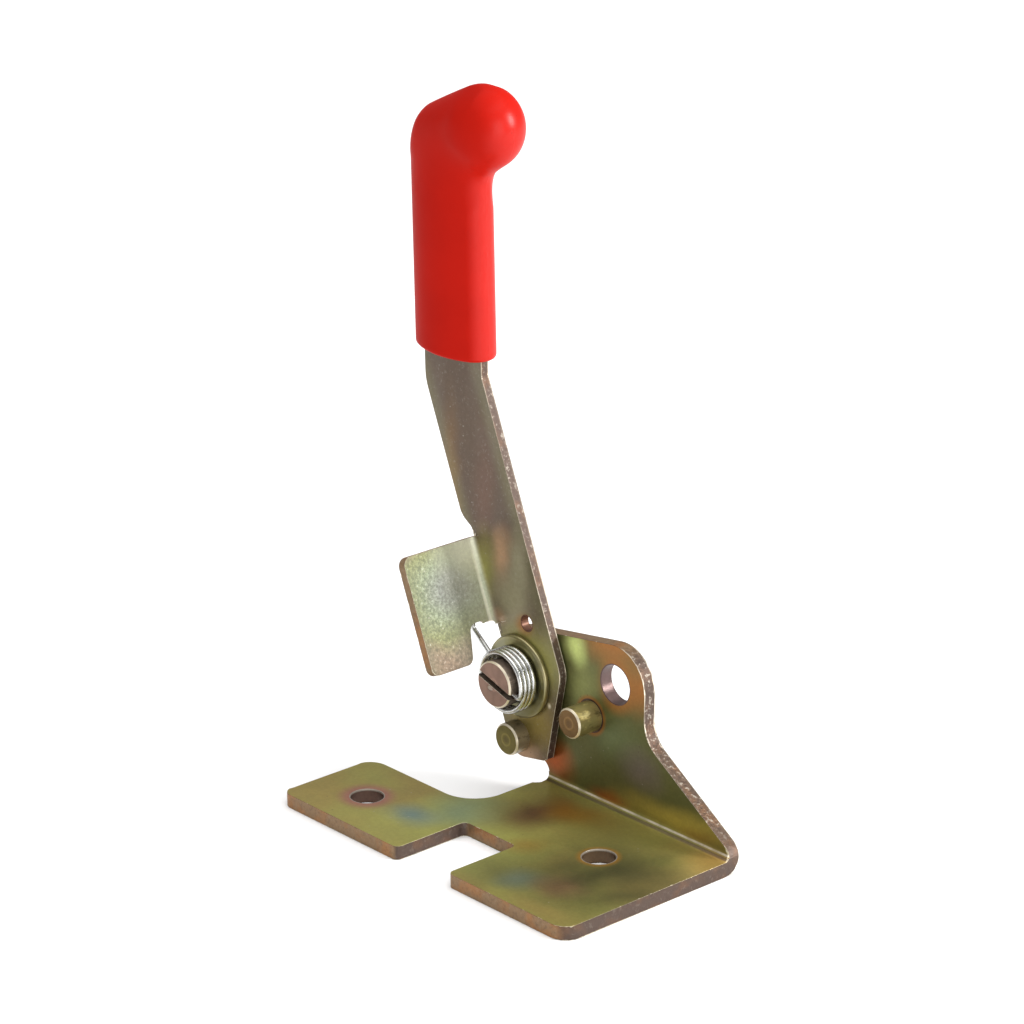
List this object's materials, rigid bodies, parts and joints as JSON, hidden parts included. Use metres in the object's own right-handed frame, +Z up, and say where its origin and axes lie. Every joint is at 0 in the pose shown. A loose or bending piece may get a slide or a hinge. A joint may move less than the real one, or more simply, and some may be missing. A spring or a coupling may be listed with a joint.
{
  "type": "cab_door_handle",
  "caption": "Sprung hand lever for a cab door latch: a cranked steel lever with a red moulded grip pivots on a folded, zinc-plated bracket with a stop pin.",
  "frame": {"origin": "centre of the left base hole, on the underside of the base plate", "axes": "+Z up, along the base hole and away from the surface the bracket is screwed to; +X along the fold of the bracket, to the right as seen from the front; +Y from the front edge of the base to the upright"},
  "size_m": [0.0912, 0.052, 0.1472],
  "materials": {
    "zinc_sheet": "yellow-passivated zinc on sheet steel, iridescent",
    "zinc_lever": "yellow-passivated zinc, grey-olive with faint iridescence",
    "zinc_pin": "turned steel, yellow-passivated zinc, brown to mauve",
    "spring_wire": "bright drawn spring wire",
    "red_plastic": "red moulded plastic, satin"
  },
  "bodies": {
    "root": {"bracket": "zinc_sheet", "stop_pin": "zinc_pin", "pivot_pin": "zinc_pin", "washer": "zinc_lever", "return_spring": "spring_wire"},
    "lever": {"lever": "zinc_lever", "link_pin": "zinc_pin", "grip": "red_plastic"}
  },
  "joints": [
    {"name": "lever_pivot", "type": "hinge", "parent": "root", "child": "lever", "pos_m": [0.0128, 0.03195, 0.0251], "axis": [0, -1, 0], "range_deg": [0, 40], "stiffness_Nm_per_rad": 0.082, "springref_deg": -14.9, "deforming": ["return_spring"]}
  ]
}
